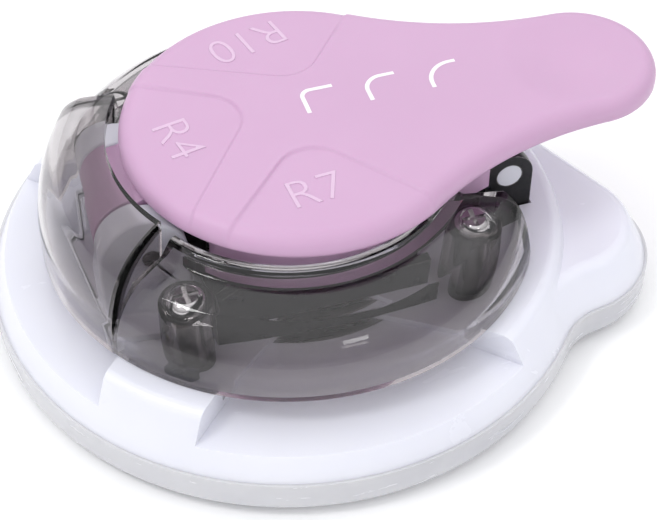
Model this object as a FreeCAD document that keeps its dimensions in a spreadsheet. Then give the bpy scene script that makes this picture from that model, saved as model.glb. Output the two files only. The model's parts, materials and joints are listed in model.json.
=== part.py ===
import FreeCAD, Part
import math
import os

import Sketcher

# Three-radius corner rounder, a desk press that trims paper corners to
# 4, 7 or 10 mm.  Millimetres, +Z up, origin at the centre of the round base
# on the surface it stands on, +X towards the lever's handle.

doc = FreeCAD.newDocument("CornerRounder")

# ---------------------------------------------------------------- dimensions

DIMENSIONS = {
    # base and tray
    "base_radius": 52.0,
    "lobe_centre_x": 45.5,
    "lobe_centre_y": -13.0,
    "lobe_radius": 16.5,
    "neck_radius": 12.0,
    "foot_height": 0.8,
    "foot_radius": 4.0,
    "seam_height": 8.0,
    "tray_wall": 2.4,
    "tray_floor": 1.6,
    "tray_edge_radius": 2.8,
    "notch_half_width": 10.0,
    "notch_depth": 1.7,
    "notch_height": 3.2,
    "seam_step": 0.5,
    "lip_depth": 1.4,
    "lip_wall": 1.8,
    "lip_gap": 0.3,
    "shell_draft": 26.0,
    "shell_edge_radius": 2.4,
    "table_height": 12.3,
    "lobe_top": 15.4,
    "block_top": 17.6,
    "hollow_top": 9.4,
    "lobe_hollow": 3.4,
    "pilot_spare": 0.6,
    "apex_offset": 12.7,
    # the three trimming radii
    "trim_small": 4.0,
    "trim_medium": 7.0,
    "trim_large": 10.0,
    # die, guide frame and punches
    "paper_gap": 1.4,
    "die_radius": 23.8,
    "die_thickness": 1.8,
    "die_fit": 0.06,
    "seat_gap": 0.3,
    "plate": 2.0,
    "frame_half_length": 18.7,
    "punch_end_gap": 0.23,
    "tongue_half_width": 9.8,
    "ear_x": 36.8,
    "ear_z": 25.0,
    "ear_radius": 4.3,
    "flange_top": 22.0,
    "flange_low": 20.4,
    "flange_high": 24.4,
    "flange_dip": 0.6,
    "punch_side": 0.8,
    "punch_back": 8.6,
    "punch_lift": 0.2,
    "head_bottom": 19.6,
    "head_top": 21.8,
    "head_rim": 0.45,
    "neck_half_width": 2.6,
    "neck_start": 3.2,
    "spring_offset": 5.5,
    "spring_radius": 1.7,
    "spring_wire": 0.5,
    "spring_turns": 3.0,
    "clamp_screw_radius": 1.45,
    "clamp_head_radius": 2.6,
    "clamp_head_height": 1.7,
    "clamp_circle": 19.5,
    # press arm
    "arm_under": 22.4,
    "arm_top": 24.4,
    "arm_wall": 1.9,
    "arm_end": 17.8,
    "cross_half_length": 5.5,
    "cross_half_width": 17.6,
    "nub_width": 1.6,
    "nub_small_x": -12.5,
    "trunnion_radius": 2.25,
    "hole_fit": 0.05,
    "arm_spring_x": 17.0,
    "arm_spring_radius": 3.3,
    "arm_spring_wire": 0.8,
    "arm_spring_turns": 3.5,
    "arm_cheek_rise": 1.0,
    # deck with hinge posts
    "deck_rear_x": -35.5,
    "deck_half_width": 18.5,
    "deck_thickness": 1.8,
    "deck_clear": 0.8,
    "hinge_x": -27.8,
    "hinge_z": 28.0,
    "barrel_radius": 7.0,
    "knuckle_half_width": 7.3,
    "post_outer": 13.0,
    "knuckle_gap": 0.3,
    "pin_radius": 1.5,
    # smoked housing
    "housing_radius": 42.7,
    "housing_wall": 2.0,
    "shelf_radius": 36.8,
    "shelf_height": 30.0,
    "collar_radius": 30.6,
    "collar_height": 30.9,
    "opening_radius": 27.2,
    "opening_height": 33.0,
    "hood_edge_radius": 30.2,
    "hood_top": 38.2,
    "hood_angle": 63.5,
    "hood_wall_angle": 58.5,
    "wall_straight": 3.2,
    "shoulder_radius": 14.0,
    "hood_straight": 5.4,
    "hood_hip_in": 2.9,
    "hood_hip_drop": 5.2,
    "hood_crown_in": 6.9,
    "hood_crown_drop": 1.6,
    "hood_side_radius": 26.0,
    "hood_hip_radius": 14.0,
    "hood_crown_radius": 22.0,
    "cut_start_x": 14.0,
    "cut_half_width": 17.3,
    "cut_front_x": 35.2,
    "cut_corner_radius": 5.2,
    "boss_radius": 4.3,
    "boss_seat": 26.6,
    "boss_rim": 1.0,
    "counterbore_radius": 3.7,
    "screw_rear_x": -24.2,
    "screw_rear_y": 24.2,
    "screw_front_x": 25.2,
    "screw_front_y": 21.7,
    "screw_head_radius": 3.2,
    "screw_head_height": 2.4,
    "screw_shank_radius": 1.45,
    "screw_tip": 11.4,
    "screw_point": 1.0,
    "cross_half_blade": 0.4,
    "cross_depth": 1.3,
    # lever
    "lever_x": 1.6,
    "lever_radius": 29.6,
    "lever_underside": 36.2,
    "lever_top": 40.3,
    "lever_edge_radius": 2.6,
    "handle_x": 52.1,
    "handle_radius": 13.6,
    "flank_radius": 62.0,
    "cap_wall": 2.4,
    "cap_rib": 1.8,
    "dish_radius": 13.2,
    "dish_depth": 0.9,
    "petal_depth": 0.4,
    "petal_rounding": 6.5,
    "skirt_inset": 5.3,
    "skirt_wall": 1.0,
    "skirt_bottom": 25.5,
    "core_plate": 1.5,
    "core_gap": 0.2,
    "core_rib_depth": 5.0,
    "web_reach": 5.0,
    "web_rim_gap": 3.8,
    "boss_x": 8.0,
    "presser_half_length": 3.0,
    "presser_half_width": 6.0,
    "presser_slot_half_width": 4.2,
    "presser_lug_bottom": 25.2,
    "presser_pin_radius": 1.6,
    "presser_pin_clear": 0.4,
    "contact_gap": 0.1,
    "core_screw_inset": 12.1,
    "core_post_radius": 3.0,
    "core_post_height": 0.4,
    "core_screw_bite": 1.2,
}

sheet = doc.addObject("Spreadsheet::Sheet", "Dims")
for row, (alias, number) in enumerate(DIMENSIONS.items(), start=1):
    sheet.set("A%d" % row, alias)
    sheet.set("B%d" % row, str(number))
    sheet.setAlias("B%d" % row, alias)
doc.recompute()


class Size:
    """A number together with the sheet expression that gives it."""

    def __init__(self, value, text):
        self.value = value
        self.text = text

    @staticmethod
    def of(other):
        if isinstance(other, Size):
            return other
        return Size(float(other), repr(float(other)))

    def _with(self, other, sign, result):
        return Size(result, "(%s %s %s)" % (self.text, sign, other.text))

    def __add__(self, other):
        other = Size.of(other)
        return self._with(other, "+", self.value + other.value)

    def __sub__(self, other):
        other = Size.of(other)
        return self._with(other, "-", self.value - other.value)

    def __mul__(self, other):
        other = Size.of(other)
        return self._with(other, "*", self.value * other.value)

    def __truediv__(self, other):
        other = Size.of(other)
        return self._with(other, "/", self.value / other.value)

    def __neg__(self):
        return Size(-self.value, "(0 - %s)" % self.text)

    def __radd__(self, other):
        return Size.of(other) + self

    def __rsub__(self, other):
        return Size.of(other) - self

    def __rmul__(self, other):
        return Size.of(other) * self


def dim(alias):
    return Size(float(sheet.get(alias)), "Dims." + alias)


def bind(obj, prop, size):
    """Sets a property to a size and ties it to the sheet."""
    size = Size.of(size)
    setattr(obj, prop, size.value)
    obj.setExpression(prop, size.text)


def bind_place(obj, x=0, y=0, z=0):
    """Places an object and ties the three coordinates to the sheet."""
    coordinates = [Size.of(c) for c in (x, y, z)]
    obj.Placement = FreeCAD.Placement(
        FreeCAD.Vector(*[c.value for c in coordinates]), obj.Placement.Rotation)
    for axis, size in zip("xyz", coordinates):
        obj.setExpression("Placement.Base." + axis, size.text)


# ------------------------------------------------------------ sketch helpers

def new_body(name):
    body = doc.addObject("PartDesign::Body", name)
    body.Label = name
    return body


def origin_plane(body, role):
    return [o for o in body.Origin.OriginFeatures if o.Role == role][0]


def new_sketch(body, name, role="XY_Plane", offset=0):
    """A sketch on one of the body's own origin planes, offset along its normal."""
    sketch = body.newObject("Sketcher::SketchObject", name)
    sketch.AttachmentSupport = [(origin_plane(body, role), "")]
    sketch.MapMode = "FlatFace"
    offset = Size.of(offset)
    sketch.AttachmentOffset = FreeCAD.Placement(
        FreeCAD.Vector(0, 0, offset.value), FreeCAD.Rotation())
    sketch.setExpression("AttachmentOffset.Base.z", offset.text)
    return sketch


def fix(sketch, kind, *items):
    """Adds a constraint whose last item is a size tied to the sheet."""
    size = Size.of(items[-1])
    index = sketch.addConstraint(Sketcher.Constraint(kind, *items[:-1], size.value))
    sketch.setExpression("Constraints[%d]" % index, size.text)


def fix_point(sketch, geometry, position, x, y):
    fix(sketch, "DistanceX", -1, 1, geometry, position, x)
    fix(sketch, "DistanceY", -1, 1, geometry, position, y)


def add_circle(sketch, x, y, radius):
    x, y, radius = Size.of(x), Size.of(y), Size.of(radius)
    index = sketch.addGeometry(Part.Circle(
        FreeCAD.Vector(x.value, y.value, 0), FreeCAD.Vector(0, 0, 1), radius.value))
    fix_point(sketch, index, 3, x, y)
    fix(sketch, "Radius", index, radius)


def arc_between(start, end, radius):
    """The shorter arc; a positive radius bulges to the right of start to end."""
    chord = end.sub(start)
    half = chord.Length / 2
    rise = math.sqrt(max(radius * radius - half * half, 0.0))
    side = 1.0 if radius > 0 else -1.0
    left = FreeCAD.Vector(-chord.y, chord.x, 0).normalize()
    centre = start.add(end).multiply(0.5).add(left * (rise * side))
    middle = centre.add((-left) * (abs(radius) * side))
    return Part.Arc(start, middle, end)


def add_profile(sketch, points, bulges=None):
    """A closed outline; bulges gives {index of start point: signed radius size}."""
    bulges = bulges or {}
    points = [(Size.of(x), Size.of(y)) for x, y in points]
    vectors = [FreeCAD.Vector(x.value, y.value, 0) for x, y in points]
    count = len(points)
    for i in range(count):
        start, end = vectors[i], vectors[(i + 1) % count]
        if i in bulges:
            radius = Size.of(bulges[i])
            index = sketch.addGeometry(arc_between(start, end, radius.value))
            first = 1 if radius.value > 0 else 2
            fix_point(sketch, index, first, *points[i])
            fix_point(sketch, index, 3 - first, *points[(i + 1) % count])
            fix(sketch, "Radius", index, radius if radius.value > 0 else -radius)
        else:
            index = sketch.addGeometry(Part.LineSegment(start, end))
            fix_point(sketch, index, 1, *points[i])
            fix_point(sketch, index, 2, *points[(i + 1) % count])


def add_box(sketch, x_low, y_low, x_high, y_high):
    add_profile(sketch, [(x_low, y_low), (x_high, y_low), (x_high, y_high), (x_low, y_high)])


# ----------------------------------------------------------- feature helpers

def pad(body, sketch, length, down=False, draft=None):
    feature = body.newObject("PartDesign::Pad", "Pad")
    feature.Profile = sketch
    bind(feature, "Length", length)
    feature.Reversed = down
    if draft is not None:
        bind(feature, "TaperAngle", -draft)
    doc.recompute()
    return feature


def pocket(body, sketch, length, up=False):
    """Cuts downwards from the sketch, or upwards, and checks that it removed something."""
    before = body.Shape.Volume
    feature = body.newObject("PartDesign::Pocket", "Pocket")
    feature.Profile = sketch
    feature.Type = "Length"
    bind(feature, "Length", length)
    feature.Reversed = up
    doc.recompute()
    if not body.Shape.Volume < before - 1e-3:
        raise RuntimeError("%s removes nothing" % sketch.Name)
    return feature


def revolve(body, sketch, angle=360.0, cut=False):
    kind = "PartDesign::Groove" if cut else "PartDesign::Revolution"
    feature = body.newObject(kind, "Turned")
    feature.Profile = sketch
    feature.ReferenceAxis = (sketch, ["V_Axis"])
    feature.Midplane = True
    bind(feature, "Angle", angle)
    doc.recompute()
    return feature


def fillet(body, base, radius, wanted):
    """Rounds the edges of a feature that the wanted function picks."""
    names = ["Edge%d" % (i + 1) for i, edge in enumerate(base.Shape.Edges) if wanted(edge)]
    if not names:
        raise RuntimeError("no edge to round on %s" % body.Name)
    feature = body.newObject("PartDesign::Fillet", "Rounding")
    feature.Base = (base, names)
    bind(feature, "Radius", radius)
    doc.recompute()
    return feature


def level_edge(height):
    """Picks edges that lie wholly at one height."""
    def wanted(edge):
        box = edge.BoundBox
        return abs(box.ZMin - height) < 1e-4 and abs(box.ZMax - height) < 1e-4
    return wanted


# --------------------------------------------------------------- shared sizes

seam = dim("seam_height")
block_top = dim("block_top")
beyond = dim("base_radius") * 2
SLIVER = 1.0
table = dim("table_height")
web_under = table + dim("paper_gap")
web_top = web_under + dim("plate")
apex = dim("apex_offset")
TO_CORNER = math.sqrt(2.0)
frame_half_width = apex + dim("trim_large") / TO_CORNER + dim("punch_end_gap") + dim("plate")
arm_half_width = dim("tongue_half_width") - dim("plate") - dim("seat_gap")
skirt_end_x = dim("ear_x") - dim("ear_radius") - dim("seat_gap")


def on_circle(x, y, radius, angle):
    return (x + radius * math.cos(angle), y + radius * math.sin(angle))


def base_outline(sketch, inset):
    """Round disc with a rounded lobe: neck fillet in front, tangent line behind."""
    disc = dim("base_radius") - inset
    lobe = dim("lobe_radius") - inset
    neck = dim("neck_radius") + inset
    cx, cy = dim("lobe_centre_x").value, dim("lobe_centre_y").value
    span, heading = math.hypot(cx, cy), math.atan2(cy, cx)
    reach, other = disc.value + neck.value, lobe.value + neck.value
    neck_angle = heading - math.acos((span**2 + reach**2 - other**2) / (2 * span * reach))
    neck_x, neck_y = on_circle(0, 0, reach, neck_angle)
    lobe_angle = math.atan2(neck_y - cy, neck_x - cx)
    line_angle = heading + math.acos((disc.value - lobe.value) / span)
    far_angle = (line_angle + neck_angle) / 2 + math.pi
    points = [on_circle(0, 0, disc.value, angle) for angle in (line_angle, far_angle, neck_angle)]
    points += [on_circle(cx, cy, lobe.value, angle) for angle in (lobe_angle, line_angle)]
    add_profile(sketch, points, {0: disc, 1: disc, 2: -neck, 3: lobe})


def punch_points(radius, grow):
    """Plan of a punch that trims towards -Y: its outer side is a hollow arc."""
    half = radius / TO_CORNER
    side = half + dim("punch_side") + grow
    tip = -(apex + half + grow)
    back = -(dim("punch_back") - grow)
    points = [(-side, back), (-side, tip), (-half, tip), (half, tip), (side, tip), (side, back)]
    return points, {2: -radius}


def turn_points(points, quarter):
    """Turns plan points by quarter turns about the origin."""
    for _ in range(quarter % 4):
        points = [(-Size.of(y), x) for x, y in points]
    return points


STATIONS = {
    "r7": ("trim_medium", 0),
    "r10": ("trim_large", 2),
    "r4": ("trim_small", 3),
}


def add_punch_outline(sketch, station, grow):
    alias, quarter = STATIONS[station]
    points, bulges = punch_points(dim(alias), grow)
    add_profile(sketch, turn_points(points, quarter), bulges)


def clamp_spots():
    """Plan of the three screws that clamp die, base and guide frame."""
    reach = dim("clamp_circle")
    diagonal = reach / TO_CORNER
    return [(-diagonal, -diagonal), (-diagonal, diagonal), (reach, 0)]


def housing_screw_spots():
    rear, front = dim("screw_rear_x"), dim("screw_front_x")
    rear_y, front_y = dim("screw_rear_y"), dim("screw_front_y")
    return [(rear, -rear_y), (front, -front_y), (front, front_y), (rear, rear_y)]


# ------------------------------------------------------------------ chip tray

def make_chip_tray():
    """Lobed tray that catches the cut corners and carries the press."""
    body = new_body("chip_tray")
    outline = new_sketch(body, "TrayOutline", offset=dim("foot_height"))
    base_outline(outline, 0)
    wall = pad(body, outline, seam - dim("foot_height"))
    fillet(body, wall, dim("tray_edge_radius"), level_edge(dim("foot_height").value))
    inside = new_sketch(body, "TrayInside", offset=seam)
    base_outline(inside, dim("tray_wall"))
    pocket(body, inside, seam - dim("foot_height") - dim("tray_floor"))
    notch = new_sketch(body, "FingerNotch", offset=dim("foot_height"))
    edge = -dim("base_radius")
    half = dim("notch_half_width")
    add_box(notch, -beyond, -half, edge + dim("notch_depth"), half)
    pocket(body, notch, dim("notch_height"), up=True)
    return body


def make_foot(name, x, y):
    foot = doc.addObject("Part::Cylinder", name)
    foot.Label = name
    bind(foot, "Radius", dim("foot_radius"))
    bind(foot, "Height", dim("foot_height"))
    bind_place(foot, x, y, 0)
    return foot


FOOT_SPOTS = [(0.0, 0.0), (-27.0, -27.0), (40.0, -22.0), (30.0, 26.0), (-27.0, 27.0)]

make_chip_tray()
for number, (foot_x, foot_y) in enumerate(FOOT_SPOTS, start=1):
    make_foot("foot_%d" % number, foot_x, foot_y)


# ----------------------------------------------------------------- base shell

def add_table_sector(sketch, quarter):
    """A 90 degree paper table opening towards -Y before it is turned."""
    points = [(0, -apex), (-beyond, -(apex + beyond)), (beyond, -(apex + beyond))]
    add_profile(sketch, turn_points(points, quarter))


def add_frame_plan(sketch, grow, tongue_end):
    """Plan of the guide frame's web: a wide field and a narrow tongue towards +X."""
    length = dim("frame_half_length") + grow
    width = frame_half_width + grow
    tongue = dim("tongue_half_width") + grow
    end = tongue_end + grow
    add_profile(sketch, [
        (-length, -width), (length, -width), (length, -tongue), (end, -tongue),
        (end, tongue), (length, tongue), (length, width), (-length, width)])


TONGUE_END = dim("ear_x") + dim("ear_radius")


def make_base_shell():
    """White moulding with three paper tables, their fences and the lobe."""
    body = new_body("base_shell")
    lip = new_sketch(body, "LipOutline", offset=seam - dim("lip_depth"))
    base_outline(lip, dim("tray_wall") + dim("lip_gap"))
    pad(body, lip, dim("lip_depth"))
    draft = dim("shell_draft")
    lower = new_sketch(body, "LobeOutline", offset=seam)
    base_outline(lower, dim("seam_step"))
    lobe = pad(body, lower, dim("lobe_top") - seam, draft=draft)
    fillet(body, lobe, dim("shell_edge_radius"), level_edge(dim("lobe_top").value))
    disc = new_sketch(body, "DiscOutline", offset=seam)
    add_circle(disc, 0, 0, dim("base_radius") - dim("seam_step"))
    top = pad(body, disc, block_top - seam, draft=draft)
    fillet(body, top, dim("shell_edge_radius"), level_edge(block_top.value))
    for station, (_, quarter) in STATIONS.items():
        sector = new_sketch(body, "Table_" + station, offset=block_top)
        add_table_sector(sector, quarter)
        pocket(body, sector, block_top - table)
    floor = new_sketch(body, "InnerFloor", offset=block_top)
    add_circle(floor, 0, 0, dim("housing_radius") - dim("housing_wall") - dim("seat_gap"))
    pocket(body, floor, block_top - web_under)
    seat = new_sketch(body, "FrameSeat", offset=block_top)
    add_frame_plan(seat, dim("seat_gap"), TONGUE_END)
    pocket(body, seat, block_top - web_under)
    hollow = new_sketch(body, "Hollow", offset=seam - dim("lip_depth"))
    base_outline(hollow, dim("tray_wall") + dim("lip_gap") + dim("lip_wall"))
    pocket(body, hollow, dim("hollow_top") - seam + dim("lip_depth"), up=True)
    under = new_sketch(body, "LobeHollow", offset=dim("hollow_top"))
    add_circle(under, dim("lobe_centre_x"), dim("lobe_centre_y"), dim("lobe_radius") / 2)
    pocket(body, under, dim("lobe_hollow"), up=True)
    recess = new_sketch(body, "DieRecess", offset=dim("hollow_top"))
    add_circle(recess, 0, 0, dim("die_radius") + dim("seat_gap"))
    pocket(body, recess, table - dim("hollow_top"), up=True)
    for station in STATIONS:
        passage = new_sketch(body, "Passage_" + station, offset=web_under)
        add_punch_outline(passage, station, dim("seat_gap"))
        pocket(body, passage, web_under - table)
    clamps = new_sketch(body, "ClampHoles", offset=web_under)
    for x, y in clamp_spots():
        add_circle(clamps, x, y, dim("clamp_screw_radius") + dim("hole_fit"))
    pocket(body, clamps, web_under - table)
    pilots = new_sketch(body, "HousingScrewHoles", offset=block_top)
    for x, y in housing_screw_spots():
        add_circle(pilots, x, y, dim("screw_shank_radius") + dim("hole_fit"))
    pocket(body, pilots, block_top - dim("screw_tip") + dim("pilot_spare"))
    return body


make_base_shell()


# ------------------------------------------------------- die and guide frame

def make_die_plate():
    """Hardened lower die, level with the paper tables."""
    body = new_body("die_plate")
    under = table - dim("die_thickness")
    outline = new_sketch(body, "DieOutline", offset=under)
    add_circle(outline, 0, 0, dim("die_radius"))
    pad(body, outline, dim("die_thickness"))
    for station in STATIONS:
        opening = new_sketch(body, "DieHole_" + station, offset=table)
        add_punch_outline(opening, station, dim("die_fit"))
        pocket(body, opening, dim("die_thickness"))
    clamps = new_sketch(body, "ClampHoles", offset=table)
    for x, y in clamp_spots():
        add_circle(clamps, x, y, dim("clamp_screw_radius") + dim("hole_fit"))
    pocket(body, clamps, dim("die_thickness"))
    return body


def make_guide_frame():
    """Black steel frame: punch guide, two side flanges and two hinge ears."""
    body = new_body("guide_frame")
    web = new_sketch(body, "Web", offset=web_under)
    add_frame_plan(web, 0, TONGUE_END)
    pad(body, web, dim("plate"))
    length, width = dim("frame_half_length"), frame_half_width
    flange_points = [
        (-length, web_under), (length, web_under), (length, dim("flange_low")),
        (length / 2, dim("flange_low") - dim("flange_dip")), (-length / 3, dim("flange_top")),
        (-length * 0.8, dim("flange_high")), (-length, dim("flange_top"))]
    for name, outer in (("FlangeFront", -width), ("FlangeBack", width - dim("plate"))):
        side = new_sketch(body, name, "XZ_Plane", offset=-(outer + dim("plate")))
        add_profile(side, flange_points)
        pad(body, side, dim("plate"))
    ear = dim("ear_radius")
    x, z = dim("ear_x"), dim("ear_z")
    tongue = dim("tongue_half_width")
    for name, outer in (("EarFront", -tongue), ("EarBack", tongue - dim("plate"))):
        side = new_sketch(body, name, "XZ_Plane", offset=-(outer + dim("plate")))
        add_profile(side, [(x - ear, web_under), (x + ear, web_under), (x + ear, z), (x, z + ear),
                           (x - ear, z)], {2: ear, 3: ear})
        pad(body, side, dim("plate"))
    holes = new_sketch(body, "EarHoles", "XZ_Plane", offset=tongue)
    add_circle(holes, x, z, dim("trunnion_radius") + dim("hole_fit"))
    pocket(body, holes, tongue * 2)
    for station in STATIONS:
        guide = new_sketch(body, "Guide_" + station, offset=web_top)
        add_punch_outline(guide, station, dim("die_fit"))
        pocket(body, guide, dim("plate"))
    clamps = new_sketch(body, "ClampHoles", offset=web_top)
    for x, y in clamp_spots():
        add_circle(clamps, x, y, dim("clamp_screw_radius") + dim("hole_fit"))
    pocket(body, clamps, dim("plate"))
    return body


def make_turned(name, points, x, y, bulges=None):
    """A turned piece: half profile in (radius, height), placed at x, y."""
    body = new_body(name)
    half = new_sketch(body, name + "_profile", "XZ_Plane")
    add_profile(half, points, bulges)
    revolve(body, half)
    bind_place(body, x, y, 0)
    return body


def make_clamp_screw(name, x, y):
    seat = table - dim("die_thickness")
    low = seat - dim("clamp_head_height")
    head, shank = dim("clamp_head_radius"), dim("clamp_screw_radius")
    points = [(0, low), (head, low), (head, seat), (shank, seat), (shank, web_top), (0, web_top)]
    return make_turned(name, points, x, y)


make_die_plate()
make_guide_frame()
for number, (spot_x, spot_y) in enumerate(clamp_spots(), start=1):
    make_clamp_screw("clamp_screw_%d" % number, spot_x, spot_y)


# ------------------------------------------------------------------- punches

def head_points(radius):
    """Plan of a punch's head: over the punch and in over its spring."""
    half = radius / TO_CORNER + dim("punch_side") + dim("head_rim")
    back = -(dim("punch_back") - dim("head_rim"))
    tip = -(apex + radius / TO_CORNER)
    neck, start = dim("neck_half_width"), dim("neck_start")
    return [(-neck, -start), (-neck, back), (-half, back), (-half, tip),
            (half, tip), (half, back), (neck, back), (neck, -start)]


def make_punch(station):
    alias, quarter = STATIONS[station]
    body = new_body("punch_" + station)
    bottom = web_under + dim("punch_lift")
    shank = new_sketch(body, "Shank_" + station, offset=bottom)
    add_punch_outline(shank, station, 0)
    pad(body, shank, dim("head_bottom") - bottom)
    head = new_sketch(body, "Head_" + station, offset=dim("head_bottom"))
    add_profile(head, turn_points(head_points(dim(alias)), quarter))
    pad(body, head, dim("head_top") - dim("head_bottom"))
    return body


def make_spring(name, x, y, low, high, coil_radius, wire, turns):
    """A closed wire swept along a helix, resting on flat ground ends."""
    spring = doc.addObject("Part::Feature", name)
    spring.Label = name
    thickness = wire.value
    length = high.value - low.value - thickness
    helix = Part.makeHelix(length / turns.value, length, coil_radius.value)
    section = Part.Wire(Part.makeCircle(
        thickness / 2, FreeCAD.Vector(coil_radius.value, 0, 0), FreeCAD.Vector(0, 1, 0)))
    spring.Shape = Part.Wire(helix.Edges).makePipeShell([section], True, True)
    bind_place(spring, x, y, low + wire / 2)
    return spring


def spring_spot(station):
    quarter = STATIONS[station][1]
    return turn_points([(0, -dim("spring_offset"))], quarter)[0]


for key in STATIONS:
    make_punch(key)
    spring_x, spring_y = spring_spot(key)
    make_spring("spring_" + key, spring_x, spring_y, web_top, dim("head_bottom"),
                dim("spring_radius"), dim("spring_wire"), dim("spring_turns"))


# ----------------------------------------------------------------- press arm

def make_press_arm():
    """White arm on two trunnions; its cross bar pushes the three punches."""
    body = new_body("press_arm")
    x, z = dim("ear_x"), dim("ear_z")
    half, wall = arm_half_width, dim("arm_wall")
    under, top = dim("arm_under"), dim("arm_top")
    end, cross = dim("arm_end"), dim("cross_half_length")
    width = dim("cross_half_width")
    root = x - dim("ear_radius") * 1.4
    plate = new_sketch(body, "ArmPlate", offset=under)
    add_profile(plate, [
        (-end, -half / 2), (-cross, -half / 2), (-cross, -width), (cross, -width),
        (cross, -half), (root, -half), (root, half), (cross, half),
        (cross, width), (-cross, width), (-cross, half / 2), (-end, half / 2)])
    pad(body, plate, top - under)
    eye = dim("ear_radius")
    cheek_points = [
        (dim("arm_spring_x"), under), (x, z - eye), (x + eye, z), (x, z + eye),
        (root, z + eye), (dim("arm_spring_x"), top + dim("arm_cheek_rise"))]
    for name, outer in (("CheekFront", -half), ("CheekBack", half - wall)):
        cheek = new_sketch(body, name, "XZ_Plane", offset=-(outer + wall))
        add_profile(cheek, cheek_points, {1: eye, 2: eye})
        pad(body, cheek, wall)
    for name, side in (("TrunnionFront", -1), ("TrunnionBack", 1)):
        start = (half - wall) * (-side)
        trunnion = new_sketch(body, name, "XZ_Plane", offset=start)
        add_circle(trunnion, x, z, dim("trunnion_radius"))
        pad(body, trunnion, dim("tongue_half_width") - half + wall, down=side > 0)
    nubs = new_sketch(body, "Nubs", offset=under)
    nub = dim("nub_width") / 2
    inner = apex
    add_box(nubs, -nub, -width, nub, -inner)
    add_box(nubs, -nub, inner, nub, width)
    centre = dim("nub_small_x")
    add_box(nubs, centre - nub, -half / 3, centre + nub, half / 3)
    pad(body, nubs, under - dim("head_top") - dim("contact_gap"), down=True)
    return body


make_press_arm()
make_spring("arm_spring", dim("arm_spring_x"), 0, web_top, dim("arm_under"),
            dim("arm_spring_radius"), dim("arm_spring_wire"), dim("arm_spring_turns"))


# ------------------------------------------------------ deck and hinge posts

def make_upper_deck():
    """White deck behind the guide frame, with the two posts of the lever hinge."""
    body = new_body("upper_deck")
    plan = new_sketch(body, "DeckPlan", offset=web_under)
    front, half = -(dim("frame_half_length") + dim("deck_clear")), dim("deck_half_width")
    add_box(plan, dim("deck_rear_x"), -half, front, half)
    pad(body, plan, dim("deck_thickness"))
    x, z = dim("hinge_x"), dim("hinge_z")
    radius, outer = dim("barrel_radius"), dim("post_outer")
    inner = dim("knuckle_half_width") + dim("knuckle_gap")
    post_points = [
        (x - radius, web_under), (x + radius, web_under), (x + radius, z), (x, z + radius),
        (x - radius, z)]
    for name, start in (("PostFront", -outer), ("PostBack", inner)):
        post = new_sketch(body, name, "XZ_Plane", offset=-(start + outer - inner))
        add_profile(post, post_points, {2: radius, 3: radius})
        pad(body, post, outer - inner)
    bore = new_sketch(body, "HingeBore", "XZ_Plane", offset=outer)
    add_circle(bore, x, z, dim("pin_radius"))
    pocket(body, bore, outer * 2)
    return body


def make_cross_pin(name, radius, half_length, x, z):
    """A plain pin along Y."""
    pin = doc.addObject("Part::Cylinder", name)
    pin.Label = name
    pin.Placement.Rotation = FreeCAD.Rotation(FreeCAD.Vector(1, 0, 0), 90)
    bind(pin, "Radius", radius)
    bind(pin, "Height", half_length * 2)
    bind_place(pin, x, half_length, z)
    return pin


make_upper_deck()
make_cross_pin("lever_pin", dim("pin_radius"), dim("post_outer"), dim("hinge_x"), dim("hinge_z"))


# ------------------------------------------------------------ smoked housing

def dome_profile():
    """Half section of the ring-shaped dome: wall, shelf and collar."""
    outer, wall = dim("housing_radius"), dim("housing_wall")
    shelf, shelf_z = dim("shelf_radius"), dim("shelf_height")
    collar, collar_z = dim("collar_radius"), dim("collar_height")
    mouth, mouth_z = dim("opening_radius"), dim("opening_height")
    straight = block_top + dim("wall_straight")
    shoulder = dim("shoulder_radius")
    points = [
        (outer - wall, block_top), (outer, block_top), (outer, straight), (shelf, shelf_z),
        (collar, collar_z), (mouth + wall * 0.7, mouth_z), (mouth, mouth_z),
        (mouth, collar_z - wall * 0.6), (shelf - wall * 0.6, shelf_z - wall),
        (outer - wall, straight)]
    return points, {2: shoulder, 8: wall * 0.8 - shoulder}


def hood_profile(inset):
    """Half section of the higher hood over the lever hinge."""
    outer = dim("housing_radius") - inset
    inner, top = dim("hood_edge_radius"), dim("hood_top") - inset
    points = [
        (inner, block_top), (outer, block_top), (outer, block_top + dim("hood_straight")),
        (outer - dim("hood_hip_in"), top - dim("hood_hip_drop")),
        (outer - dim("hood_crown_in"), top - dim("hood_crown_drop")), (inner, top)]
    return points, {2: dim("hood_side_radius"), 3: dim("hood_hip_radius"),
                    4: dim("hood_crown_radius")}


def mirrored(points):
    """Moves a half section to the -X side."""
    return [(-Size.of(x), z) for x, z in points]


def add_front_cut(sketch):
    """Opening towards +X: straight sides that turn outwards in a round corner."""
    start, half = dim("cut_start_x"), dim("cut_half_width")
    front, corner = dim("cut_front_x"), dim("cut_corner_radius")
    side = half + corner
    add_profile(sketch, [
        (start, -half), (front - corner, -half), (front, -side), (front, -beyond),
        (beyond, -beyond), (beyond, beyond), (front, beyond), (front, side),
        (front - corner, half), (start, half)], {1: -corner, 7: -corner})


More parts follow.
